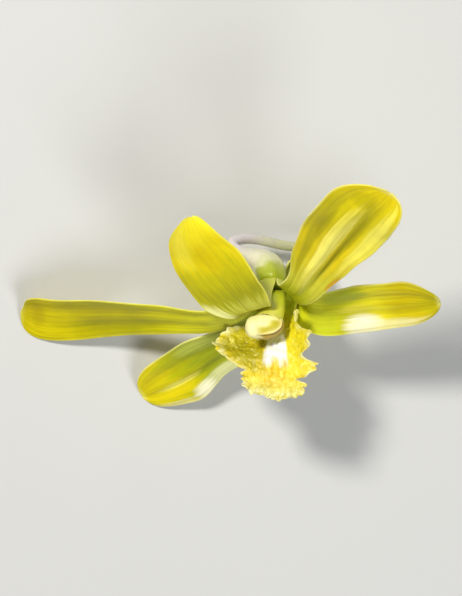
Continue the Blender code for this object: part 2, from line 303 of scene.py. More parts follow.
# %% Build the patch group
patch, given, result = new_group(
    "soft_patch",
    [("Side", 0.0), ("Along", 0.0), ("At Side", 0.0), ("At Along", 0.5),
     ("Half Side", 0.4), ("Half Along", 0.2), ("Ragged", 0.0)],
    ["Mask"],
)
from_middle = []
for axis in ("Side", "Along"):
    offset = sums(patch, "SUBTRACT", given[axis], given[f"At {axis}"])
    share = sums(patch, "DIVIDE", offset, given[f"Half {axis}"])
    from_middle.append(sums(patch, "MULTIPLY", share, share))
far = sums(patch, "ADD", sums(patch, "ADD", *from_middle), given["Ragged"])
patch.links.new(eased(patch, far, 1.0, 0.05), result["Mask"])
print("patch group:", len(patch.nodes), "nodes")

# %% [markdown]
# ## Living skin
#
# Close up, a petal is a sheet of rounded cells that glitter a little, with faint clouds of
# deeper and paler colour beneath. The cells are a fine cell texture, about a sixth of a
# millimetre across, and the clouds are noise a few millimetres across. Both sizes are given in
# millimetres, and the coordinates are the object's own, in metres.

# %% Build the skin group
skin, given, result = new_group(
    "living_skin",
    [("Cell Size", 0.16), ("Cloud Size", 4.0)],
    ["Cells", "Clouds"],
)
place = add_node(skin, "ShaderNodeTexCoord").outputs["Object"]
cell_scale = sums(skin, "DIVIDE", 1.0 / MM, given["Cell Size"])
cloud_scale = sums(skin, "DIVIDE", 1.0 / MM, given["Cloud Size"])
cells = add_node(skin, "ShaderNodeTexVoronoi", {"Vector": place, "Scale": cell_scale}, feature="SMOOTH_F1")
clouds = add_node(skin, "ShaderNodeTexNoise", {"Vector": place, "Scale": cloud_scale, "Detail": 3.0})
skin.links.new(cells.outputs["Distance"], result["Cells"])
skin.links.new(clouds.outputs[0], result["Clouds"])
print("skin group:", len(skin.nodes), "nodes")

# %% [markdown]
# ## From paint to tissue
#
# All the flower's materials are put together from the same few steps. A ground colour follows
# one of the piece's own measures, tints and soft fields are laid over it, clouds darken and
# lighten it, and last the shader gets the paint, a roughness and a relief. Light passes a
# little way into the tissue, red and green further than blue, which the subsurface values
# give. These steps are functions and not groups, because a shader stays in its material.

# %% Define the ground, the tints and the fields
Field = namedtuple("Field", "colour side along half_side half_along strength")


def solid_colour(colour):
    return (*colour, 1.0)


def new_material(name):
    material = bpy.data.materials.new(name)
    material.use_nodes = True
    return material, material.node_tree


def read_measures(tree, *names):
    """The piece's own measures, which lie on its mesh as attributes."""
    return [add_node(tree, "ShaderNodeAttribute", attribute_name=name).outputs["Fac"] for name in names]


def ground(tree, measure, stops):
    """A colour ramp through (position, colour) stops, eased between them."""
    ramp = add_node(tree, "ShaderNodeValToRGB", {"Fac": measure})
    ramp.color_ramp.interpolation = "EASE"
    elements = ramp.color_ramp.elements
    for element, (position, colour) in ((elements[0], stops[0]), (elements[-1], stops[-1])):
        element.position = position
        element.color = solid_colour(colour)
    for position, colour in stops[1:-1]:
        elements.new(position).color = solid_colour(colour)
    return ramp.outputs["Color"]


def tinted(tree, paint, mask, strength, colour):
    """Mix a colour over a paint where the mask says, at most by its strength."""
    return mixed(tree, sums(tree, "MULTIPLY", mask, strength), paint, solid_colour(colour))


def with_fields(tree, paint, fields, along, side, ragged):
    """Lay soft fields of colour over a paint, one after another."""
    for field in fields:
        mask = use_group(tree, patch, Side=side, Along=along, At_Side=field.side, At_Along=field.along,
                         Half_Side=field.half_side, Half_Along=field.half_along, Ragged=ragged)[0]
        paint = tinted(tree, paint, mask, field.strength, field.colour)
    return paint


print("tints and fields ready")

# %% Define the last steps of a material
LIGHT_DEPTH = (1.0, 0.85, 0.25)


def clouded(tree, paint, clouds, spread):
    """Darken and lighten a paint by the clouds, about its own value."""
    shade = swing(tree, clouds, spread, middle=1.0)
    grey = add_node(tree, "ShaderNodeCombineColor", {"Red": shade, "Green": shade, "Blue": shade})
    return mixed(tree, 1.0, paint, grey.outputs[0], how="MULTIPLY")


def relief(tree, *parts):
    """Add up (value, weight) pairs to one height."""
    height, *others = (sums(tree, "MULTIPLY", value, weight) for value, weight in parts)
    for other in others:
        height = sums(tree, "ADD", height, other)
    return height


def bumped(tree, height, strength, depth):
    """A normal bent by a height; the depth is in millimetres."""
    bump = add_node(tree, "ShaderNodeBump", {"Strength": strength, "Distance": depth * MM, "Height": height})
    return bump.outputs[0]


def finish_tissue(tree, paint, roughness, normal, light_share, light_reach):
    """Feed the shader; light_reach, in millimetres, is how far light passes into the tissue."""
    shader = tree.nodes["Principled BSDF"]
    for socket, value in (("Base Color", paint), ("Roughness", roughness), ("Normal", normal)):
        tree.links.new(value, shader.inputs[socket])
    shader.inputs["Subsurface Weight"].default_value = light_share
    shader.inputs["Subsurface Radius"].default_value = LIGHT_DEPTH
    shader.inputs["Subsurface Scale"].default_value = light_reach * MM
    return shader


print("last steps ready")

# %% [markdown]
# ## Tepal material
#
# Sepals and petals are painted by one function with different values. The steps follow what a
# painter does: a ground colour that changes from foot to tip, soft fields over it, streaks and
# veins, a thin pale rim where the tissue is only a few cells thick, and a creamier back. The
# same few colours come back on every blade, so they have names.

# %% Define the tepal material
PALE_GREEN = (0.52, 0.55, 0.075)
FRESH_GREEN = (0.36, 0.42, 0.030)
LEAF_GREEN = (0.34, 0.40, 0.008)
OLIVE = (0.33, 0.29, 0.004)
OLIVE_GOLD = (0.50, 0.43, 0.004)
GOLD = (0.78, 0.62, 0.006)
LEMON = (0.86, 0.76, 0.060)
BRIGHT_LEMON = (0.97, 0.88, 0.13)
CREAM = (0.90, 0.84, 0.45)
IVORY = (0.93, 0.89, 0.66)
PALE_RIM = (0.80, 0.76, 0.30)
STREAK_COLOUR = (0.40, 0.33, 0.004)
TEPAL_BACK = ((0.0, PALE_GREEN), (0.5, CREAM), (1.0, LEMON))
TEPAL_VEINS = 9.0
BACK_VEIN_STRENGTH = 0.30
RIM_STRENGTH = 0.45


def tepal_material(name, face_stops, fields, vein_colour, rim_colour, vein_strength=0.22,
                   streak_strength=0.35):
    material, tree = new_material(name)
    along, side, back = read_measures(tree, "along", "side", "back")
    vein_lines, streaks = use_group(tree, veins, Side=side, Along=along, Count=TEPAL_VEINS)
    cell_bumps, clouds = use_group(tree, skin)
    uneven_along = sums(tree, "ADD", along, swing(tree, streaks, 0.10))
    face = ground(tree, uneven_along, face_stops)
    face = with_fields(tree, face, fields, along, side, ragged=swing(tree, streaks, 0.5))
    streaked = mixed(tree, 0.6, face, solid_colour(STREAK_COLOUR))
    face = mixed(tree, sums(tree, "MULTIPLY", streaks, streak_strength), face, streaked)
    face = tinted(tree, face, vein_lines, vein_strength, vein_colour)
    reverse = ground(tree, uneven_along, TEPAL_BACK)
    reverse = tinted(tree, reverse, vein_lines, BACK_VEIN_STRENGTH, vein_colour)
    paint = mixed(tree, eased(tree, back, 0.35, 0.75), face, reverse)
    near_tip = sums(tree, "MULTIPLY_ADD", along, 3.0, -2.0)
    near_margin = sums(tree, "MAXIMUM", sums(tree, "ABSOLUTE", side), near_tip)
    paint = tinted(tree, paint, eased(tree, near_margin, 0.93, 1.0), RIM_STRENGTH, rim_colour)
    height = relief(tree, (cell_bumps, 0.30), (vein_lines, -0.55), (streaks, 0.35))
    shader = finish_tissue(
        tree, clouded(tree, paint, clouds, 0.36), roughness=swing(tree, clouds, 0.18, middle=0.42),
        normal=bumped(tree, height, strength=0.35, depth=0.12), light_share=0.22, light_reach=0.7,
    )
    shader.inputs["Specular IOR Level"].default_value = 0.12
    return material


print("tepal material ready")

# %% [markdown]
# ## How a blade is shaped
#
# A sepal or petal is a strip of tissue that follows its midrib. By hand one would lay down a
# grid and pull it about with proportional editing. Here the pulling is a rule: stations along
# the midrib say where it heads, how wide the blade is and how much it is cupped, and every
# point of the grid is placed from them. The numbers between stations come from a smooth curve.
#
# A station's heading is how far the midrib leans forward of the flower's face, its azimuth is
# the clock angle from dorsal towards the flower's right, and its roll lifts one margin. Its lean
# is the share of the half width by which the blade is broader on one side of the midrib. Its
# cup is the angle, in degrees, through which each half bends out of the flat. Lengths are in
# millimetres.

# %% Define the midrib
Station = namedtuple("Station", "along heading azimuth roll half_width cup lean", defaults=(0.0,))
LONGEST_STEP = 0.12


def smooth_value(knots, values, at):
    """Cubic curve through the values, with slopes taken from the neighbours."""
    slopes = np.gradient(values, knots)
    index = int(np.clip(np.searchsorted(knots, at) - 1, 0, len(knots) - 2))
    span = knots[index + 1] - knots[index]
    part = (at - knots[index]) / span
    rest = 1.0 - part
    return (
        values[index] * (1 + 2 * part) * rest**2
        + slopes[index] * span * part * rest**2
        + values[index + 1] * part**2 * (3 - 2 * part)
        - slopes[index + 1] * span * part**2 * rest
    )


def station_at(stations, along):
    knots = np.array([station.along for station in stations], dtype=float)
    columns = np.array(stations, dtype=float).T[1:]
    return Station(along, *(smooth_value(knots, column, along) for column in columns))


def midrib_frame(station):
    """Directions along the midrib, across the blade and out of its face."""
    azimuth = math.radians(station.azimuth)
    heading = math.radians(station.heading)
    outward = Vector((math.sin(azimuth), math.cos(azimuth), 0.0))
    along = outward * math.cos(heading) + Vector((0.0, 0.0, math.sin(heading)))
    across = Vector((math.cos(azimuth), -math.sin(azimuth), 0.0))
    across = Matrix.Rotation(math.radians(-station.roll), 3, along) @ across
    return along, across, across.cross(along)


def walk_midrib(stations, base, distances):
    """The station and the midrib's point at each distance from the foot."""
    point = base.copy()
    reached = 0.0
    rows = []
    for distance in distances:
        steps = max(1, math.ceil((distance - reached) / LONGEST_STEP))
        step = (distance - reached) / steps
        for small in range(steps):
            point += midrib_frame(station_at(stations, reached + (small + 0.5) * step))[0] * step
        reached = distance
        rows.append((station_at(stations, distance), point.copy()))
    return rows


print("midrib rule ready")

# %% [markdown]
# ## Small shapes and small jobs
#
# Two curves do most of the shaping: a hump that is 1 at its middle and fades on both sides, and
# a rise from 0 to 1. A petal's own measures are written on its mesh as attributes, where its
# material finds them. A modifier is added and applied in one go, and a finished piece is carried
# from the flower's frame to its place and shaded smooth.

# %% Define the curves and the mesh jobs
def hump(value, middle, half):
    return math.exp(-(((value - middle) / half) ** 2))


def rise(value, low, high):
    part = min(max((value - low) / (high - low), 0.0), 1.0)
    return part * part * (3 - 2 * part)


def write_measure(piece, name, values):
    measure = piece.data.attributes.new(name, "FLOAT", "POINT")
    measure.data.foreach_set("value", np.asarray(values, dtype=np.float32))


def corner_places(piece):
    return np.array([corner.co[:] for corner in piece.data.vertices])


def apply_modifier(piece, kind, **settings):
    modifier = piece.modifiers.new(kind.title(), kind)
    for name, value in settings.items():
        setattr(modifier, name, value)
    bpy.ops.object.modifier_apply(modifier=modifier.name)


def put_in_place(piece):
    """Carry a piece modelled in the flower's frame, in millimetres, to its place in the model."""
    piece.matrix_world = TO_PLACE
    bpy.ops.object.transform_apply(location=True, rotation=True, scale=True)
    bpy.ops.object.shade_smooth()
    bpy.ops.object.select_all(action="DESELECT")
    print(f"{piece.name}: {len(piece.data.polygons)} faces")
    return piece


print("curves and mesh jobs ready")

# %% [markdown]
# ## From grid to blade
#
# The grid's rows are spaced evenly along the body of the blade and then closer and closer, so
# that the tip rounds off without corners. A "form" is a small function that each blade brings
# along. It gets t, which runs from 0 at the foot to 1 at the tip, the side, from -1 to 1, and
# the distance sideways from the midrib in millimetres. It gives how far the point slides along,
# how much the width grows, and how far the point lifts off the face. Folds, waves and frills
# all live there. A lift near the tip goes by the distance and not by the side, because there
# the sides meet in one point.
#
# The sheet then gets its thickness from a Solidify modifier. A vertex group tells it to be
# full at the midrib and thin at the margins, as in the plant. Last, the measures that the
# materials read are written on the mesh, and one subdivision rounds everything.

# %% Space the rows and place the points
LAST_TIP_ANGLE = math.radians(87)
NEARLY_FLAT = 1e-3


def row_distances(length, tip_rounding, rows, plain_foot):
    """Wide steps along a plain foot, even ones up the body, and short ones round the tip."""
    tip_rows = rows // 4
    foot_rows = rows // 6 if plain_foot else 0
    body_rows = rows - tip_rows - foot_rows
    tip_start = length - tip_rounding
    foot = [plain_foot * row / foot_rows for row in range(foot_rows)]
    body = [plain_foot + (tip_start - plain_foot) * row / body_rows for row in range(body_rows)]
    turns = [LAST_TIP_ANGLE * row / tip_rows for row in range(tip_rows + 1)]
    tip = [tip_start + tip_rounding * math.sin(turn) for turn in turns]
    return foot + body + tip


def rounded_half_width(station, length, tip_rounding, fullness):
    """The station's half width, drawn in round the tip like part of an oval."""
    into_tip = max(0.0, (station.along - length + tip_rounding) / tip_rounding)
    return station.half_width * (1 - min(into_tip, 1.0) ** fullness) ** (1 / fullness)


def cupped_point(station, middle, half_width, side, slide, widen, lift):
    """A point of the blade: across the cup's arc, then lifted off it and slid along the midrib."""
    along, across_blade, front = midrib_frame(station)
    bend = math.radians(station.cup)
    place = side * widen + station.lean
    angle = bend * place
    if abs(bend) < NEARLY_FLAT:
        reach, depth = half_width * place, 0.0
    else:
        reach = half_width / bend * math.sin(angle)
        depth = half_width / bend * (1 - math.cos(angle))
    normal = front * math.cos(angle) - across_blade * math.sin(angle)
    return middle + across_blade * reach + front * depth + normal * lift + along * slide


print("rows and points ready")

# %% Define the blade builder
MARGIN_THINNING = 2.5
TIP_THINS_FROM = 0.80


def blade(name, stations, base, rows, columns, thickness, tip_rounding, form, fullness=2.0, edge=0.32,
          plain_foot=0.0):
    """A living blade: a grid laid along its midrib, formed, thickened and subdivided."""
    bpy.ops.mesh.primitive_grid_add(x_subdivisions=rows, y_subdivisions=columns, size=2.0)
    piece = bpy.context.object
    piece.name = piece.data.name = name
    length = stations[-1].along
    ribs = walk_midrib(stations, base, row_distances(length, tip_rounding, rows, plain_foot))
    thick = piece.vertex_groups.new(name="thick")
    measures = []
    for corner in piece.data.vertices:
        station, middle = ribs[round((corner.co.x + 1) / 2 * rows)]
        t = station.along / length
        side = corner.co.y
        half_width = rounded_half_width(station, length, tip_rounding, fullness)
        sideways = half_width * (side + station.lean)
        corner.co = cupped_point(station, middle, half_width, side, *form(t, side, sideways))
        thinning = max(abs(side) ** MARGIN_THINNING, rise(t, TIP_THINS_FROM, 1.0))
        thick.add([corner.index], 1 - (1 - edge) * thinning, "REPLACE")
        measures.append((t, side, sideways))
    piece.data.update()
    sheet = corner_places(piece)
    normals = np.array([corner.normal[:] for corner in piece.data.vertices])
    apply_modifier(piece, "SOLIDIFY", thickness=thickness, offset=0.0, vertex_group="thick")
    moved = corner_places(piece) - np.tile(sheet, (2, 1))
    lifted = np.einsum("ij,ij->i", moved, np.tile(normals, (2, 1)))
    for measure, values in zip(("along", "side", "sideways"), zip(*measures)):
        write_measure(piece, measure, np.tile(values, 2))
    write_measure(piece, "back", (lifted > 0).astype(float))
    apply_modifier(piece, "SUBSURF", levels=1, render_levels=1)
    return put_in_place(piece)


print("blade builder ready")

# %% [markdown]
# ## Right petal
#
# The broadest blade. Two furrows run along it beside a raised middle, and its margins wave a
# little. In the furrows the yellow deepens to olive, which is painted shade; the raised middle
# carries a painted highlight, the lower margin is paler, and a flush of orange sits low on the
# lower margin.

# %% Model the right petal
TEPAL_THICKNESS = 0.8
PETAL_RIGHT = (
    Station(0.0, 66, 84, 0, 1.8, 15, 0.12),
    Station(4.0, 42, 76, 0, 2.5, 22, 0.10),
    Station(9.0, 12, 62, 0, 3.6, 22, -0.10),
    Station(18.0, 10, 59, 0, 5.1, 18, -0.18),
    Station(29.0, 9, 62, 0, 6.8, 20, -0.21),
    Station(34.0, 7, 64, 0, 6.4, 19, -0.22),
    Station(39.8, 4, 66, 0, 5.2, 16, -0.18),
)


def margin_wave(t, side, seed, height):
    """A slow, irregular wave that grows towards the margins and leaves the foot alone."""
    return height * abs(side) ** 2.5 * rise(t, 0.1, 0.4) * noise.noise(Vector((5.0 * t, 1.2 * side, seed)))


def right_petal_form(t, side, sideways):
    along_fold = rise(t, 0.10, 0.35) * (1 - rise(t, 0.78, 0.97))
    lift = 0.75 * hump(side, -0.05, 0.20) * along_fold
    lift -= 0.55 * hump(side, 0.33, 0.17) * along_fold
    lift -= 0.35 * hump(side, -0.45, 0.20) * along_fold
    lift += margin_wave(t, side, seed=3.0, height=1.3)
    widen = 1 + 0.05 * noise.noise(Vector((6.0 * t, side, 8.0))) * rise(t, 0.1, 0.3)
    widen -= (0.07 + 0.22 * hump(t, 0.27, 0.10)) * rise(-side, 0.0, 1.0) * rise(t, 0.12, 0.25)
    slide = 0.12 * max(sideways, 0.0) * rise(t, 0.80, 0.97)
    return slide, widen, lift


petal_right = blade(
    "petal_right_live", PETAL_RIGHT, base=Vector((2.25, 0.5, -0.1)), rows=100, columns=40,
    thickness=TEPAL_THICKNESS, tip_rounding=5.2, form=right_petal_form, fullness=2.3,
)

# %% Paint the right petal
petal_right.data.materials.append(tepal_material(
    "petal_right_paint",
    [(0.0, LEAF_GREEN), (0.12, (0.38, 0.43, 0.010)), (0.26, (0.62, 0.60, 0.05)), (0.50, GOLD),
     (0.80, (0.62, 0.53, 0.005)), (1.0, GOLD)],
    [
        # Painted shade: the olive fields at -0.42 and 0.36 lie in the furrows. Painted highlight: the bright
        # lemon at -0.04 runs along the raised middle.
        Field(OLIVE_GOLD, -0.60, 0.50, 0.28, 0.30, 0.8),
        Field(OLIVE, -0.42, 0.66, 0.20, 0.14, 0.7),
        Field(OLIVE, 0.36, 0.62, 0.16, 0.38, 0.85),
        Field((1.0, 0.91, 0.17), -0.04, 0.56, 0.23, 0.38, 1.0),
        Field(BRIGHT_LEMON, 0.78, 0.67, 0.28, 0.32, 0.8),
        Field((0.60, 0.20, 0.02), 0.93, 0.34, 0.14, 0.07, 0.7),
        Field(OLIVE, -0.15, 0.90, 0.40, 0.06, 0.5),
    ],
    vein_colour=(0.40, 0.34, 0.006), rim_colour=PALE_RIM, streak_strength=0.25,
))
print("right petal painted")

# %% [markdown]
# ## Left petal
#
# The same organ on the other side, but long, narrow and nearly flat. Its end is broad and
# blunt, with the lower half raised a little, and a faint brown flush across it. Fine low ridges
# follow the veins down its whole length.

# %% Model the left petal
PETAL_LEFT = (
    Station(0.0, 72, -80, 4, 1.4, 15, 0.0),
    Station(4.0, 48, -74, 8, 1.8, 20, 0.0),
    Station(10.0, 0, -72, 12, 2.8, 22, -0.10),
    Station(21.0, -6, -72, 16, 4.6, 20, -0.06),
    Station(32.0, -5, -73, 15, 5.4, 22, -0.08),
    Station(42.8, -7, -62, 12, 5.0, 18, -0.08),
)


def left_petal_form(t, side, sideways):
    lift = 0.10 * math.cos(7.5 * side) * rise(t, 0.1, 0.3) * (1 - rise(t, 0.85, 1.0))
    lift += margin_wave(t, side, seed=11.0, height=0.4)
    lift += 1.45 * rise(t, 0.72, 0.95) * rise(-sideways, -2.0, 5.0)
    widen = 1 + hump(t, 0.64, 0.20) * (0.14 * rise(side, 0.0, 1.0) - 0.06 * rise(-side, 0.0, 1.0))
    slide = -0.20 * min(sideways, 0.0) * rise(t, 0.80, 0.97)
    slide += 0.6 * rise(t, 0.85, 1.0) * (1 - 0.8 * rise(side, 0.0, 1.0))
    return slide, widen, lift


petal_left = blade(
    "petal_left_live", PETAL_LEFT, base=Vector((-2.25, 0.55, -0.1)), rows=100, columns=40,
    thickness=TEPAL_THICKNESS, tip_rounding=4.6, form=left_petal_form, fullness=2.2,
)

# %% Paint the left petal
petal_left.data.materials.append(tepal_material(
    "petal_left_paint",
    [(0.0, PALE_GREEN), (0.16, (0.60, 0.62, 0.06)), (0.28, (0.60, 0.58, 0.015)), (0.40, (0.70, 0.66, 0.006)),
     (0.55, (0.48, 0.45, 0.002)), (0.72, (0.50, 0.45, 0.002)), (0.88, (0.66, 0.56, 0.003)),
     (1.0, (0.52, 0.43, 0.003))],
    [
        Field(GOLD, 0.35, 0.62, 0.40, 0.30, 0.35),
        Field((0.34, 0.32, 0.004), -0.35, 0.60, 0.35, 0.34, 0.6),
        Field((0.40, 0.27, 0.006), 0.10, 0.935, 0.75, 0.030, 0.40),
        Field(LEMON, -0.95, 0.55, 0.10, 0.50, 0.45),
    ],
    vein_colour=(0.34, 0.29, 0.004), rim_colour=(0.66, 0.64, 0.10), streak_strength=0.5,
))
print("left petal painted")

# %% [markdown]
# ## Dorsal sepal
#
# The short broad blade at the top. It stands up from the ovary, then arches over so that its
# end turns away from the viewer. The arched end is clear gold, with a painted highlight on its
# left half, the lower half deepens to olive above a pale green foot, and the left margin is drawn
# in just above the turn, with a painted highlight on its rolled edge.

# %% Model the dorsal sepal
DORSAL_SEPAL = (
    Station(0.0, 89, 0, 0, 1.9, 20),
    Station(5.2, 86, 0, 0, 2.3, 18, -0.05),
    Station(7.4, 62, 0, 0, 3.4, 12, -0.10),
    Station(9.6, 12, 0, 0, 5.0, 6, -0.14),
    Station(13.4, -3, 1, 0, 6.1, 2, -0.19),
    Station(19.4, -4, 2, 2, 6.3, -8, -0.30),
    Station(24.8, -6, 3, 4, 5.1, -20, -0.40),
    Station(28.2, -28, 4, 4, 3.7, -26, -0.36),
)


def dorsal_form(t, side, sideways):
    lift = 0.3 * rise(-side, 0.55, 1.0) * hump(t, 0.40, 0.10)
    lift -= 0.14 * hump(side, 0.0, 0.10) * rise(t, 0.15, 0.3) * (1 - rise(t, 0.6, 0.8))
    lift += margin_wave(t, side, seed=21.0, height=0.9)
    widen = 1 - 0.22 * rise(-side, 0.1, 1.0) * hump(t, 0.31, 0.08)
    return 0.0, widen, lift


dorsal_sepal = blade(
    "dorsal_sepal_live", DORSAL_SEPAL, base=Vector((0.0, 2.35, -0.1)), rows=64, columns=40,
    thickness=TEPAL_THICKNESS, tip_rounding=5.6, form=dorsal_form, fullness=2.2,
)

# %% Paint the dorsal sepal
dorsal_sepal.data.materials.append(tepal_material(
    "dorsal_sepal_paint",
    [(0.0, PALE_GREEN), (0.25, (0.52, 0.53, 0.06)), (0.33, (0.54, 0.54, 0.07)), (0.42, (0.34, 0.33, 0.012)),
     (0.58, (0.52, 0.47, 0.008)), (0.74, (0.74, 0.60, 0.006)), (1.0, (0.86, 0.74, 0.02))],
    [
        Field((0.74, 0.57, 0.003), 0.10, 0.72, 0.50, 0.14, 0.7),
        # Painted highlights: the lemon field on the left of the arched end, and the pale field on the rolled
        # left margin above the turn.
        Field(LEMON, -0.50, 0.82, 0.40, 0.18, 0.55),
        Field((0.40, 0.38, 0.006), 0.55, 0.62, 0.40, 0.16, 0.25),
        Field((0.74, 0.73, 0.34), -0.90, 0.36, 0.30, 0.10, 0.7),
    ],
    vein_colour=(0.46, 0.42, 0.012), rim_colour=(0.82, 0.76, 0.12), vein_strength=0.14, streak_strength=0.22,
))
print("dorsal sepal painted")

# %% [markdown]
# ## Lateral sepals
#
# The two lower sepals are joined to the foot of the column, well behind the throat. Their feet
# are hooded and together make the spur. From there each one runs forward, turns sharply
# outward and spreads. Both are green at the turn and gold at the tip. Their lower margins are pale
# tissue painted up to ivory and cream as painted sunlight, and their upper halves are painted a
# deeper green as painted shade under the petals.

# %% Model the right lateral sepal
LATERAL_SEPAL_RIGHT = (
    Station(0.0, 8, 106, 0, 0.5, 66),
    Station(1.6, 66, 104, 0, 1.8, 66),
    Station(6.0, 84, 105, 0, 2.6, 66, 0.06),
    Station(11.5, 62, 111, 0, 3.9, 56, 0.10),
    Station(15.0, 14, 116, 0, 4.8, 40, -0.03),
    Station(21.0, -4, 113, 0, 5.3, 22, -0.25),
    Station(29.0, -8, 110, 0, 4.8, 20, -0.26),
    Station(34.6, -12, 108, 0, 3.9, 18, -0.15),
)


def right_lateral_form(t, side, sideways):
    spread_out = rise(t, 0.42, 0.55)
    lift = 0.12 * math.cos(9.0 * side) * spread_out * (1 - rise(t, 0.85, 1.0))
    lift += 0.45 * rise(side, 0.45, 1.0) * hump(t, 0.56, 0.16)
    lift += margin_wave(t, side, seed=31.0, height=0.9) * spread_out
    widen = 1 + rise(-side, 0.0, 1.0) * (0.16 * hump(t, 0.80, 0.12) + 0.35 * hump(t, 0.30, 0.12))
    widen += 0.25 * rise(side, 0.0, 1.0) * hump(t, 0.28, 0.08)
    return 0.0, widen, lift


lateral_right = blade(
    "lateral_sepal_right_live", LATERAL_SEPAL_RIGHT, base=Vector((1.5, -3.1, -10.6)),
    rows=112, columns=44, thickness=TEPAL_THICKNESS, tip_rounding=5.4,
    form=right_lateral_form, fullness=1.9,
)

# %% Paint the right lateral sepal
lateral_right.data.materials.append(tepal_material(
    "lateral_right_paint",
    # Painted light: the light green at about a third of the length is lighter than the tissue, to make up for
    # the right petal's shadow there.
    [(0.0, PALE_GREEN), (0.34, (0.74, 0.78, 0.018)), (0.55, (0.50, 0.50, 0.014)), (0.70, (0.76, 0.68, 0.018)),
     (0.84, (0.66, 0.52, 0.004)), (1.0, (0.44, 0.39, 0.004))],
    [
        # Painted shade: the green field on the upper half. Painted sunlight over pale tissue: the ivory and
        # cream fields on the lower margin.
        Field(FRESH_GREEN, -0.62, 0.56, 0.50, 0.14, 0.8),
        Field((0.50, 0.54, 0.02), 0.60, 0.44, 0.80, 0.10, 1.0),
        Field(IVORY, 0.72, 0.63, 0.55, 0.11, 1.0),
        Field(CREAM, 0.92, 0.76, 0.35, 0.20, 0.7),
        Field((0.80, 0.70, 0.08), 0.05, 0.62, 0.25, 0.12, 0.5),
    ],
    vein_colour=(0.48, 0.42, 0.01), rim_colour=(0.84, 0.80, 0.28), streak_strength=0.3,
))
print("right lateral sepal painted")

# %% Model the left lateral sepal
LATERAL_SEPAL_LEFT = (
    Station(0.0, 8, -106, 0, 0.5, 66),
    Station(1.6, 62, -106, 0, 1.8, 66),
    Station(6.0, 76, -105, 0, 2.4, 66),
    Station(11.5, 60, -116, 0, 3.7, 55),
    Station(15.0, 16, -116, 0, 4.9, 40, 0.15),
    Station(22.0, 4, -100, 0, 4.4, 22, 0.44),
    Station(31.0, 4, -94, 0, 5.3, 20, 0.24),
    Station(40.6, 2, -90, 0, 4.2, 18, 0.10),
)


def left_lateral_form(t, side, sideways):
    spread_out = rise(t, 0.36, 0.5)
    lift = 0.12 * math.cos(9.0 * side) * spread_out * (1 - rise(t, 0.85, 1.0))
    lift -= 0.35 * hump(side, -0.30, 0.18) * hump(t, 0.78, 0.14)
    lift += 0.35 * hump(side, -0.05, 0.18) * hump(t, 0.78, 0.16)
    lift += margin_wave(t, side, seed=41.0, height=0.8) * spread_out
    lift += 0.65 * rise(t, 0.70, 0.95) * rise(-sideways, -5.0, 4.0)
    widen = 1 + rise(-side, 0.2, 1.0) * (0.12 * hump(t, 0.80, 0.07) - 0.06 * hump(t, 0.64, 0.08))
    widen += rise(side, 0.2, 1.0) * 0.26 * hump(t, 0.60, 0.13)
    slide = 0.5 * rise(t, 0.85, 1.0)
    return slide, widen, lift


lateral_left = blade(
    "lateral_sepal_left_live", LATERAL_SEPAL_LEFT, base=Vector((0.8, -3.1, -10.6)),
    rows=112, columns=44, thickness=TEPAL_THICKNESS, tip_rounding=5.4,
    form=left_lateral_form, fullness=2.2,
)

# %% Paint the left lateral sepal
lateral_left.data.materials.append(tepal_material(
    "lateral_left_paint",
    [(0.0, PALE_GREEN), (0.40, (0.44, 0.50, 0.030)), (0.66, (0.30, 0.35, 0.012)), (0.80, (0.48, 0.48, 0.006)),
     (0.88, (0.70, 0.60, 0.006)), (1.0, (0.70, 0.58, 0.006))],
    [
        # Painted sunlight over pale tissue: the first three fields, on the lower margin. Painted shade: the
        # last field, a green upper half under the petal.
        Field((0.76, 0.78, 0.40), -0.88, 0.62, 0.45, 0.16, 0.85),
        Field(IVORY, -0.84, 0.75, 0.30, 0.07, 0.9),
        Field(CREAM, -0.95, 0.88, 0.20, 0.12, 0.7),
        Field((1.0, 0.92, 0.17), -0.22, 0.82, 0.20, 0.13, 1.0),
        Field(GOLD, -0.50, 0.84, 0.20, 0.12, 0.7),
        Field((0.56, 0.62, 0.09), 0.78, 0.60, 0.42, 0.17, 0.9),
    ],
    vein_colour=(0.40, 0.36, 0.01), rim_colour=(0.84, 0.80, 0.26), streak_strength=0.3,
))
print("left lateral sepal painted")

# %% [markdown]
# ## The lip
#
# The lip is a petal that has become a landing place. A narrow claw leaves the foot of the
# column, two side lobes turn up beside it, and a broad midlobe spreads in front. Its margins
# are crisped and torn into small teeth. Down the middle runs the callus: a white block with
# three keels that reach out over the midlobe.
#
# Teeth are made by letting the width, and at the end the length, jump in short steps. Clefts
# part the margins into lobes: each is a place where the width dips. The crisp is a lift that
# grows quickly towards the margin, with a slow wave and a quick one.

# %% Lay out the lip
LIP_THICKNESS = 0.6
LABELLUM = (
    Station(0.0, 76, 215, 0, 0.5, 30),
    Station(6.0, 80, 210, 0, 1.1, 46),
    Station(9.5, 88, 190, 0, 1.9, 56),
    Station(11.8, 92, 182, -4, 3.8, 60, 0.05),
    Station(13.8, 91, 181, -9, 7.0, 66, 0.15),
    Station(16.0, 88, 184, -11, 9.8, 64, 0.20),
    Station(18.2, 76, 194, -4, 9.2, 44, 0.14),
    Station(20.0, 66, 198, 5, 7.4, 18, 0.03),
    Station(21.6, 58, 202, 7, 5.9, 2),
    Station(23.2, 48, 206, 8, 6.2, -16, -0.08),
    Station(26.0, 38, 210, 4, 5.6, -26),
)
LIP_LENGTH = LABELLUM[-1].along
CALLUS_HALF_WIDTH, CALLUS_HEIGHT = 2.2, 0.60
KEEL_SPACING, KEEL_HALF_WIDTH, KEEL_HEIGHT = 1.15, 0.40, 0.55
TOOTH_SHARE = 0.13
Cleft = namedtuple("Cleft", "depth along half")
RIGHT_CLEFTS = (
    Cleft(0.24, 16.6, 0.6),
    Cleft(0.34, 19.5, 0.55),
    Cleft(0.46, 22.6, 0.6),
    Cleft(0.26, 24.0, 0.9),
)
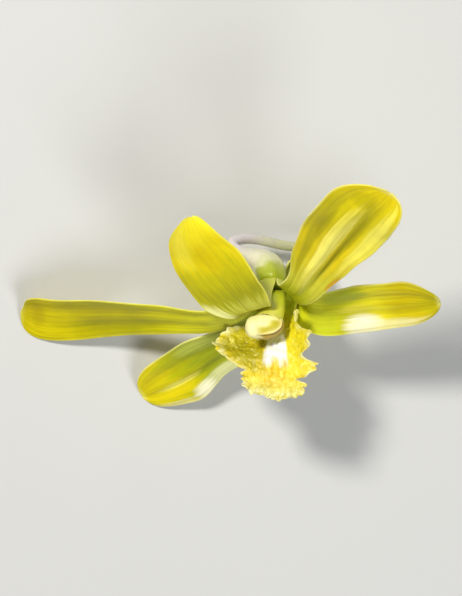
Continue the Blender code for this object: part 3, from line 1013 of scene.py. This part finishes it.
LEFT_CLEFTS = (
    Cleft(0.12, 15.8, 0.7),
    Cleft(0.14, 16.9, 0.6),
    Cleft(-0.06, 19.3, 0.8),
    Cleft(0.20, 21.3, 0.5),
    Cleft(0.14, 23.2, 0.9),
)
print(f"lip: {LIP_LENGTH} mm along its midrib, {len(LABELLUM)} stations")

# %% Define the lip's crisp, warts and lobes
def tooth(place):
    """A row of small teeth of uneven size, 0 in the gaps and about 1 at the points."""
    return 0.62 * abs(math.sin(2.9 * place)) ** 0.8 + 0.5 * noise.noise(Vector((3.1 * place, 0.7, 2.0)))


def ruffle(place, margin, pitch):
    """An uneven wave along a margin; the two margins differ."""
    return noise.noise(Vector((pitch * place, 3.7 * margin, 1.3)))


def warts(reached, sideways):
    """Low bumps of uneven size all over the face, half a millimetre to one across."""
    coarse = noise.noise(Vector((1.5 * reached, 1.5 * sideways, 5.0)))
    fine = noise.noise(Vector((3.2 * reached, 3.2 * sideways, 9.0)))
    return 0.30 * coarse + 0.22 * fine


def lobes(reached, margin):
    """Change of width by the margin's clefts; a negative cleft is a bulge."""
    clefts = RIGHT_CLEFTS if margin < 0 else LEFT_CLEFTS
    return -sum(cleft.depth * hump(reached, cleft.along, cleft.half) for cleft in clefts)


print("deepest cleft, as a share of the width:", max(cleft.depth for cleft in RIGHT_CLEFTS))

# %% Model the lip
def lip_form(t, side, sideways):
    reached = t * LIP_LENGTH
    margin = math.copysign(1.0, side)
    crisped = rise(reached, 12.0, 15.0)
    at_end = rise(t, 0.86, 1.0)
    on_callus = hump(sideways, 0.0, CALLUS_HALF_WIDTH)
    on_callus *= rise(reached, 14.0, 16.0) * (1 - rise(reached, 20.0, 21.5))
    keel = rise(reached, 14.5, 17.0) * (1 - rise(reached, 21.5, 24.5))
    # The callus stands up as a block, and its keels stand on it.
    lift = CALLUS_HEIGHT * on_callus
    for middle in (-KEEL_SPACING, 0.0, KEEL_SPACING):
        height = KEEL_HEIGHT + 0.12 * math.sin(4.1 * reached + middle)
        lift += height * hump(sideways, middle, KEEL_HALF_WIDTH) * keel
    # The crisp: a slow wave and a quick one at the margins, two more at the end, and warts.
    lift += crisped * (2.0 * abs(side) ** 2.5 * ruffle(reached, margin, 0.55) * (1 - 0.5 * at_end))
    lift += crisped * (1.5 * abs(side) ** 6 * ruffle(reached, margin + 4.0, 1.2))
    lift += at_end * (1.5 * ruffle(sideways, 2.2, 0.50) + 1.0 * ruffle(sideways, 6.0, 1.2))
    lift += crisped * (1 - 0.9 * on_callus) * warts(reached, sideways)
    teeth = rise(abs(side), 0.70, 1.0) * crisped * (tooth(reached) - 0.3) * TOOTH_SHARE
    widen = 1 + teeth + rise(abs(side), 0.35, 1.0) * lobes(reached, margin)
    slide = at_end * ((tooth(sideways + 20.0) - 0.4) * 0.9 + 0.8 * ruffle(sideways, 9.0, 0.35))
    return slide, widen, lift


lip = blade(
    "lip_live", LABELLUM, base=Vector((1.0, -3.3, -8.2)), rows=132, columns=84,
    thickness=LIP_THICKNESS, tip_rounding=3.6, form=lip_form, fullness=2.6, edge=0.3,
    plain_foot=10.5,
)

# %% [markdown]
# The lip's paint has fields that no tepal has, so it gets functions of its own: a golden ground,
# lightened near the claw as painted light for the shaded throat, deeper in the left side lobe,
# spots of deeper and lighter gold, orange lines in front of the callus, the white callus, and pale
# yellow where the tissue thins out at its frilled margin, partly painted highlight on the frills.
# Fine warts make the gold glitter.

# %% Mix the lip's colours
# Painted light: the stops up to 0.44, on the claw and the lower inner walls, are lighter than the tissue to
# make up for the shade of the column and the cap.
LIP_FACE = (
    (0.0, (0.80, 0.88, 0.03)), (0.30, (0.90, 0.94, 0.04)), (0.44, (0.95, 0.86, 0.03)),
    (0.62, (0.72, 0.60, 0.004)), (0.74, (0.74, 0.57, 0.008)), (0.85, (0.80, 0.63, 0.035)),
    (1.0, (0.74, 0.67, 0.16)),
)
LIP_BACK = ((0.0, PALE_GREEN), (0.5, (0.74, 0.68, 0.12)), (1.0, (0.90, 0.80, 0.22)))
LIP_FIELDS = (
    Field((0.39, 0.34, 0.002), 0.56, 0.69, 0.60, 0.20, 0.95),
    Field((0.80, 0.70, 0.008), -0.62, 0.66, 0.45, 0.24, 0.6),
    Field((0.36, 0.29, 0.002), 0.16, 0.60, 0.22, 0.10, 0.6),
)
DEEP_SPOT = (0.48, 0.38, 0.002)
LIGHT_SPOT = (0.96, 0.88, 0.20)
ORANGE = (0.76, 0.44, 0.008)
CALLUS_WHITE = (0.96, 0.94, 0.84)
FRILL_YELLOW = (0.84, 0.81, 0.42)
print("lip colours:", len(LIP_FACE), "on the face,", len(LIP_FIELDS), "soft fields")

# %% Define the lip's own fields
def orange_lines(tree, face, along, from_midrib, vein_lines):
    """Orange in front of the callus, strongest along the veins."""
    where = sums(tree, "MULTIPLY", eased(tree, from_midrib, 3.2, 1.0), eased(tree, along, 0.76, 0.83))
    where = sums(tree, "MULTIPLY", where, eased(tree, along, 0.97, 0.86))
    return tinted(tree, face, where, sums(tree, "MULTIPLY_ADD", vein_lines, 0.40, 0.12), ORANGE)


def white_callus(tree, face, along, from_midrib, streaks):
    """The callus ends in streaks towards the tip."""
    white = sums(tree, "MULTIPLY", eased(tree, from_midrib, 2.3, 1.6), eased(tree, along, 0.52, 0.58))
    uneven_along = sums(tree, "MULTIPLY_ADD", streaks, 0.05, along)
    white = sums(tree, "MULTIPLY", white, eased(tree, uneven_along, 0.85, 0.78))
    return mixed(tree, white, face, solid_colour(CALLUS_WHITE))


def pale_frill_and_painted_highlight(tree, face, along, side, blotches):
    """The thin tissue at the margins and at the tip, paler in patches: partly its own pale colour, partly a
    painted highlight on the frills.
    """
    beside = eased(tree, sums(tree, "ABSOLUTE", side), 0.80, 1.0)
    thin = sums(tree, "MULTIPLY", beside, eased(tree, along, 0.42, 0.52))
    thin = sums(tree, "MAXIMUM", thin, eased(tree, along, 0.93, 1.0))
    thin = sums(tree, "MULTIPLY", thin, eased(tree, blotches, 0.62, 0.42))
    return tinted(tree, face, thin, 0.85, FRILL_YELLOW)


print("lip fields ready")

# %% Paint the lip
def lip_material():
    material, tree = new_material("lip_paint")
    along, side, across, back = read_measures(tree, "along", "side", "sideways", "back")
    vein_lines, streaks = use_group(tree, veins, Side=side, Along=along, Count=19.0, Sharpness=4.0)
    cell_bumps, clouds = use_group(tree, skin, Cell_Size=0.22, Cloud_Size=2.2)
    wart_bumps, blotches = use_group(tree, skin, Cell_Size=0.60, Cloud_Size=1.25)
    from_midrib = sums(tree, "ABSOLUTE", across)
    face = ground(tree, along, LIP_FACE)
    face = with_fields(tree, face, LIP_FIELDS, along, side, ragged=swing(tree, blotches, 1.6))
    face = tinted(tree, face, eased(tree, blotches, 0.56, 0.70), 0.42, DEEP_SPOT)
    face = tinted(tree, face, eased(tree, blotches, 0.44, 0.30), 0.45, LIGHT_SPOT)
    face = orange_lines(tree, face, along, from_midrib, vein_lines)
    face = white_callus(tree, face, along, from_midrib, streaks)
    face = pale_frill_and_painted_highlight(tree, face, along, side, blotches)
    paint = mixed(tree, eased(tree, back, 0.35, 0.75), face, ground(tree, along, LIP_BACK))
    height = relief(tree, (cell_bumps, 0.4), (wart_bumps, 0.8))
    finish_tissue(
        tree, clouded(tree, paint, clouds, 0.34), roughness=swing(tree, clouds, 0.2, middle=0.48),
        normal=bumped(tree, height, strength=0.5, depth=0.16), light_share=0.25, light_reach=0.6,
    )
    return material


lip.data.materials.append(lip_material())
print("lip painted")

# %% [markdown]
# ## The column
#
# The column joins the flower's stamen and pistil in one short club. It starts as a strap along
# the roof of the spur, swells in the throat to a broad club and ends in a shallow cup with a
# thin rim, where the anther cap sits. By hand it is a circle that is extruded again and again,
# each time moved to the next place and resized to the next ellipse. The last rings are smaller
# and lie lower, so the rim folds inward and makes the cup. The end is then cut obliquely and
# its rim waved, and the stigma is hollowed out on the lower side.

# %% Extrude a club ring by ring
def extruded_club(name, rings, sides):
    """Extrude a circle through rings of (middle, half width, half height), closed at both ends."""
    bpy.ops.mesh.primitive_circle_add(vertices=sides, radius=1.0, fill_type="NGON")
    piece = bpy.context.object
    piece.name = piece.data.name = name
    bpy.ops.object.mode_set(mode="EDIT")
    bpy.ops.mesh.select_all(action="SELECT")
    middle, wide, high = rings[0]
    bpy.ops.transform.resize(value=(wide, high, 1.0), center_override=(0.0, 0.0, 0.0))
    bpy.ops.transform.translate(value=middle)
    for next_middle, next_wide, next_high in rings[1:]:
        step = Vector(next_middle) - Vector(middle)
        bpy.ops.mesh.extrude_region_move(TRANSFORM_OT_translate={"value": step})
        bpy.ops.transform.resize(value=(next_wide / wide, next_high / high, 1.0), center_override=next_middle)
        middle, wide, high = next_middle, next_wide, next_high
    bpy.ops.mesh.select_all(action="SELECT")
    bpy.ops.mesh.normals_make_consistent(inside=False)
    bpy.ops.object.mode_set(mode="OBJECT")
    return piece


print("club extruder ready")

# %% Model the column
COLUMN_RINGS = (
    ((0.9, -2.0, -7.6), 0.30, 0.25),
    ((0.8, -2.0, -7.0), 0.42, 0.34),
    ((0.5, -2.1, -5.0), 0.60, 0.38),
    ((0.2, -2.1, -2.2), 0.90, 0.45),
    ((0.0, -1.6, -0.4), 1.40, 0.85),
    ((0.2, -0.6, 1.0), 2.05, 1.45),
    ((0.5, 0.0, 2.6), 2.45, 1.65),
    ((0.9, 0.1, 5.2), 2.60, 1.75),
    ((1.0, 0.1, 7.3), 2.60, 1.80),
    ((0.9, 0.0, 8.5), 2.75, 1.95),
    ((0.9, 0.0, 9.2), 3.00, 2.10),
    ((0.9, 0.0, 9.25), 2.85, 1.98),
    ((0.9, 0.0, 8.7), 2.40, 1.65),
    ((0.9, 0.0, 8.3), 1.40, 0.95),
)
COLUMN_SIDES = 40
COLUMN_FOOT_LEVEL = COLUMN_RINGS[0][0][2]
PAINTED_LENGTH = 18.3
AXIS_DROP = 0.1
CUP_START, CUP_RIM = 7.3, 9.1
RIM_SLOPE = 0.42
RIM_WAVE = 0.18
STIGMA_LEVEL = 7.9
STIGMA_HALF_TURN = 0.55
STIGMA_DEPTH = 0.55


def shape_column_end(point):
    """Cut the end obliquely, wave the rim, and hollow the stigma on the lower side."""
    turn = math.atan2(point.x - COLUMN_TIP.x, -(point.y + AXIS_DROP))
    point.z += rise(point.z, CUP_START, CUP_RIM) * (-RIM_SLOPE * point.y + RIM_WAVE * math.cos(3 * turn))
    stigma = hump(turn, 0.0, STIGMA_HALF_TURN) * hump(point.z, STIGMA_LEVEL, 0.8)
    point.y += STIGMA_DEPTH * stigma


column = extruded_club("column_live", COLUMN_RINGS, COLUMN_SIDES)
for corner in column.data.vertices:
    shape_column_end(corner.co)
apply_modifier(column, "SUBSURF", levels=2, render_levels=2)
levels = corner_places(column)[:, 2]
write_measure(column, "along", np.clip((levels - COLUMN_FOOT_LEVEL) / PAINTED_LENGTH, 0, 1))
column = put_in_place(column)

# %% [markdown]
# The column, the anther cap and the stem share one kind of tissue: smooth, waxy and a little
# translucent. One function paints all three, from a ramp that follows one of the piece's
# measures.

# %% Paint the column
def smooth_tissue(name, measure, stops, roughness):
    """Waxy tissue whose ground colour follows one of the piece's measures."""
    material, tree = new_material(name)
    cell_bumps, clouds = use_group(tree, skin, Cell_Size=0.14, Cloud_Size=1.8)
    where = sums(tree, "ADD", *read_measures(tree, measure), swing(tree, clouds, 0.10))
    finish_tissue(
        tree, clouded(tree, ground(tree, where, stops), clouds, 0.30),
        roughness=swing(tree, clouds, 0.16, middle=roughness),
        normal=bumped(tree, cell_bumps, strength=0.25, depth=0.10), light_share=0.25, light_reach=0.8,
    )
    return material


column.data.materials.append(smooth_tissue(
    "column_paint", "along",
    [(0.0, PALE_GREEN), (0.42, (0.60, 0.67, 0.014)), (0.62, (0.64, 0.68, 0.03)), (0.80, (0.68, 0.67, 0.07)),
     (0.93, (0.66, 0.62, 0.14)), (1.0, (0.80, 0.74, 0.34))],
    0.36,
))
print("column painted")

# %% [markdown]
# ## The anther cap
#
# A hollow helmet sits on the column's end and keeps the pollen dry. It is a sphere with its
# lower part cut away. On the left it swells into a shoulder above a cheek, the middle of the
# front is pressed in to a shallow hollow under a brow, a crease runs below, and the right end
# tapers. It is then tilted forward, lowered on one side, cut flat where it meets the column's
# rim, and given a thin wall.

# %% Define the helmet's cut and swell
CAP_HALF_SIZES = (3.2, 2.1, 2.05)
CAP_TILT = math.radians(-65)
CAP_DROOP = math.radians(18)
CAP_SEAT = COLUMN_TIP + Vector((0.05, 0.30, 0.50))
CAP_MOUTH = -0.62
CAP_RIM = COLUMN_TIP + Vector((0.0, 0.0, -0.35))
CAP_WALL = 0.35
CAP_TAPER = 0.42


def cut_below(plane_point):
    """Clear away all of the active piece that lies below a level plane."""
    bpy.ops.object.mode_set(mode="EDIT")
    bpy.ops.mesh.select_all(action="SELECT")
    bpy.ops.mesh.bisect(plane_co=plane_point, plane_no=(0.0, 0.0, 1.0), clear_inner=True)
    bpy.ops.object.mode_set(mode="OBJECT")


def cap_swell(leftward, forward, level):
    """How far the helmet's wall stands out (above 1) or is pressed in (below 1)."""
    in_front = rise(forward, -0.1, 0.6)
    in_middle = 1 - rise(leftward, 0.20, 0.50)
    crease = hump(level, 0.20, 0.16) * in_front * in_middle
    brow = hump(level, 0.46, 0.14) * rise(forward, -0.3, 0.4) * rise(-leftward, 0.0, 0.5)
    hollow = hump(level, 0.72, 0.20) * hump(leftward, -0.10, 0.34) * rise(forward, -0.1, 0.5)
    cheek = hump(leftward, 0.36, 0.12) * in_front
    shoulder = hump(leftward, 0.66, 0.24) * rise(level, -0.3, 0.3)
    return 1 + 0.13 * brow + 0.12 * shoulder - 0.16 * crease - 0.12 * hollow - 0.08 * cheek


print(f"helmet: {2 * CAP_HALF_SIZES[0]} mm across before it is shaped")

# %% Model the anther cap
bpy.ops.mesh.primitive_uv_sphere_add(segments=64, ring_count=40, radius=1.0)
anther_cap = bpy.context.object
anther_cap.name = anther_cap.data.name = "anther_cap_live"
cut_below((0.0, 0.0, CAP_MOUTH))
cap_measures = []
for corner in anther_cap.data.vertices:
    leftward, forward, level = -corner.co.x, -corner.co.y, corner.co.z
    cap_measures.append((leftward, forward, level))
    swell = cap_swell(leftward, forward, level)
    corner.co = Vector([value * half * swell for value, half in zip(corner.co, CAP_HALF_SIZES)])
    corner.co.z *= 1 - CAP_TAPER * rise(-leftward, -0.15, 0.9) * rise(level, -0.2, 0.6)
for measure, values in zip(("leftward", "forward", "level"), zip(*cap_measures)):
    write_measure(anther_cap, measure, values)
tilted_seat = Matrix.Translation(CAP_SEAT) @ Matrix.Rotation(CAP_TILT, 4, "X")
anther_cap.data.transform(tilted_seat @ Matrix.Rotation(CAP_DROOP, 4, "Y"))
cut_below(CAP_RIM)
apply_modifier(anther_cap, "SOLIDIFY", thickness=CAP_WALL, offset=-1.0)
apply_modifier(anther_cap, "SUBSURF", levels=1, render_levels=1)
anther_cap = put_in_place(anther_cap)

# %% [markdown]
# The cap's paint climbs from a brown lower edge, painted shadow under the brow and in the crease,
# over a pale brow to an olive yellow hollow and a light crown. The left cheek, the shoulder and
# the back are cream, so a second tint is laid over the smooth tissue's own colour.

# %% Paint the anther cap
CAP_CREAM = (0.93, 0.85, 0.42)
# Painted shadow: the brown stops up to 0.30 lie under the brow and in the crease.
CAP_LEVELS = (
    (0.0, (0.42, 0.29, 0.05)), (0.14, (0.34, 0.23, 0.02)), (0.30, (0.27, 0.18, 0.010)),
    (0.40, (0.55, 0.42, 0.08)), (0.50, (0.78, 0.66, 0.22)), (0.63, (0.52, 0.44, 0.018)),
    (0.80, (0.54, 0.47, 0.018)), (1.0, (0.86, 0.79, 0.34)),
)


def cap_material():
    material = smooth_tissue("anther_cap_paint", "level", CAP_LEVELS, roughness=0.48)
    tree = material.node_tree
    shader = tree.nodes["Principled BSDF"]
    below = shader.inputs["Base Color"].links[0].from_socket
    leftward, forward = read_measures(tree, "leftward", "forward")
    cream = sums(tree, "MAXIMUM", eased(tree, leftward, -0.02, 0.48), eased(tree, forward, 0.05, -0.35))
    tree.links.new(tinted(tree, below, cream, 0.9, CAP_CREAM), shader.inputs["Base Color"])
    return material


anther_cap.data.materials.append(cap_material())
print("anther cap painted")

# %% [markdown]
# ## Pedicel and ovary
#
# The flower's own stem is a smooth curve, so a path is the natural start. Its control points
# and radii are those of the plain solid. Turned into a mesh, it comes as one ring of points
# after another. The ovary, at the flower's end, is given its six soft ribs with a slight twist
# by moving each ring's points in and out.

# %% Lay out the stem
PEDICEL_RADIUS = 0.8
OVARY_HEAD_RADIUS = 2.1
OVARY_RADIUS = 2.6
PEDICEL_ROUTE = (
    ((0.0, 1.1, -0.5), OVARY_HEAD_RADIUS),
    ((0.0, 1.2, -1.7), OVARY_RADIUS),
    ((-0.6, 2.0, -4.0), OVARY_RADIUS),
    ((-2.6, 3.3, -5.2), 1.8),
    ((-5.8, 5.9, -5.6), 1.0),
    ((-6.6, 6.3, -8.4), 0.9),
    ((-4.0, 3.4, -11.0), PEDICEL_RADIUS),
    ((-1.6, -2.4, -13.0), PEDICEL_RADIUS),
    ((1.4, -5.4, -16.2), PEDICEL_RADIUS),
    ((4.8, -7.6, -20.0), 0.9),
)
STEM_SIDES = 24
BEVEL_CORNERS = 4
OVARY_END, OVARY_FADE = 0.30, 0.03
RIBS, RIB_DEPTH, RIB_TWIST = 6, 0.06, 8.0
UNEVENNESS = 0.012

bpy.ops.curve.primitive_nurbs_path_add()
path = bpy.context.object
path.data.splines.clear()
spline = path.data.splines.new("NURBS")
spline.points.add(len(PEDICEL_ROUTE) - 1)
for control, (place, radius) in zip(spline.points, PEDICEL_ROUTE):
    control.co = (*place, 1.0)
    control.radius = radius
spline.order_u = 4
spline.use_endpoint_u = True
spline.resolution_u = 12
# With a bevel of one unit, each control's radius is the stem's own, in millimetres.
path.data.bevel_depth = 1.0
path.data.bevel_resolution = (STEM_SIDES - BEVEL_CORNERS) // 2
bpy.ops.object.convert(target="MESH")
pedicel = bpy.context.object
pedicel.name = pedicel.data.name = "pedicel_live"
stem_points = corner_places(pedicel)
ring_count = len(stem_points) // STEM_SIDES
print("pedicel rings:", ring_count)

# %% Rib the ovary
rings = stem_points.reshape(ring_count, STEM_SIDES, 3)
middles = rings.mean(axis=1, keepdims=True)
down_stem = np.linspace(0.0, 1.0, ring_count)[:, None]
around = np.arange(STEM_SIDES)[None, :] * 2 * math.pi / STEM_SIDES
on_ovary = 1 / (1 + np.exp((down_stem - OVARY_END) / OVARY_FADE))
ribbed = 1 + RIB_DEPTH * on_ovary * np.cos(RIBS * around + RIB_TWIST * down_stem)
ribbed = ribbed + UNEVENNESS * np.cos(3 * around + 25 * down_stem)
rings = middles + (rings - middles) * ribbed[:, :, None]
for corner, point in zip(pedicel.data.vertices, rings.reshape(-1, 3)):
    corner.co = point
write_measure(pedicel, "along", np.repeat(down_stem[:, 0], STEM_SIDES))
print(f"ovary: {RIBS} ribs over the first {OVARY_END:.0%} of the stem")

# %% [markdown]
# The stem was picked, so its far end is a fresh cut: a flat face, slightly sunken inside a firm
# green skin. The last ring is filled with one face, which is inset and pushed in a little and
# gets a paint of its own. The first ring, at the ovary's head, is filled in the same way, and
# its insets rise to a low dome.

# %% Close the stem's ends
CUT_STEPS = ((0.14, 0.0), (0.06, -0.10), (0.30, 0.04))
DOME_STEPS = ((0.35, 0.30), (0.50, 0.20), (0.50, 0.08))


def close_ring(piece, ring, steps):
    """Fill one ring of the stem and inset the new face by (thickness, depth) steps."""
    bpy.ops.object.mode_set(mode="EDIT")
    bpy.ops.mesh.select_mode(type="VERT")
    bpy.ops.mesh.select_all(action="DESELECT")
    bpy.ops.object.mode_set(mode="OBJECT")
    for number in range(ring * STEM_SIDES, (ring + 1) * STEM_SIDES):
        piece.data.vertices[number].select = True
    bpy.ops.object.mode_set(mode="EDIT")
    bpy.ops.mesh.edge_face_add()
    bpy.ops.mesh.select_mode(type="FACE")
    for thickness, depth in steps:
        bpy.ops.mesh.inset(thickness=thickness, depth=depth)


pedicel.data.materials.append(smooth_tissue(
    "pedicel_paint", "along",
    [(0.0, (0.36, 0.42, 0.010)), (0.07, (0.40, 0.44, 0.04)), (0.13, (0.62, 0.62, 0.34)),
     (0.24, (0.66, 0.64, 0.46)), (0.34, (0.60, 0.57, 0.46)), (0.42, (0.62, 0.57, 0.57)),
     (0.66, (0.62, 0.57, 0.58)), (0.80, (0.58, 0.58, 0.36)), (1.0, (0.46, 0.52, 0.12))],
    0.40,
))
pedicel.data.materials.append(smooth_tissue(
    "stem_cut_paint", "along", [(0.0, (0.70, 0.74, 0.40)), (1.0, (0.62, 0.66, 0.30))], 0.6))
close_ring(pedicel, ring_count - 1, CUT_STEPS)
pedicel.active_material_index = 1
bpy.ops.object.material_slot_assign()
bpy.ops.object.mode_set(mode="OBJECT")
close_ring(pedicel, 0, DOME_STEPS)
bpy.ops.mesh.select_all(action="SELECT")
bpy.ops.mesh.normals_make_consistent(inside=False)
bpy.ops.object.mode_set(mode="OBJECT")
apply_modifier(pedicel, "SUBSURF", levels=1, render_levels=1)
pedicel = put_in_place(pedicel)

# %% [markdown]
# ## Pollen masses
#
# The four pollen masses under the cap are smooth waxy drops, and their plain solids already
# have that shape. They stay as they are and only get a golden waxy paint.

# %% Paint the pollen masses
DARK_WAX = (0.90, 0.56, 0.03)
LIGHT_WAX = (0.95, 0.74, 0.14)
pollen_paint, pollen_tree = new_material("pollen_paint")
pollen_shader = pollen_tree.nodes["Principled BSDF"]
pollen_cells, pollen_clouds = use_group(pollen_tree, skin, Cell_Size=0.06, Cloud_Size=0.5)
pollen_colour = mixed(pollen_tree, pollen_clouds, solid_colour(DARK_WAX), solid_colour(LIGHT_WAX))
pollen_normal = bumped(pollen_tree, pollen_cells, strength=0.3, depth=0.03)
pollen_tree.links.new(pollen_colour, pollen_shader.inputs["Base Color"])
pollen_tree.links.new(pollen_normal, pollen_shader.inputs["Normal"])
pollen_shader.inputs["Roughness"].default_value = 0.32
for number in (1, 2, 3, 4):
    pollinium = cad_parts[f"pollinium_{number}"]
    pollinium.data.materials.clear()
    pollinium.data.materials.append(pollen_paint)
print("pollen masses painted")

# %% [markdown]
# ## Hand the pieces to the frame
#
# Each finished piece says which plain solid it stands for and which body it rides on. Nothing on a
# flower moves on a joint, so there is one body, the root.

# %% Ride and replace
for piece, node, slot_name in (
    (dorsal_sepal, "dorsal_sepal", "sepal"),
    (lateral_right, "lateral_sepal_right", "sepal"),
    (lateral_left, "lateral_sepal_left", "sepal"),
    (petal_right, "petal_right", "petal"),
    (petal_left, "petal_left", "petal"),
    (lip, "labellum", "lip"),
    (column, "column", "column"),
    (anther_cap, "anther_cap", "anther_cap"),
    (pedicel, "pedicel", "pedicel"),
):
    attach(piece, "root")
    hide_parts(node)
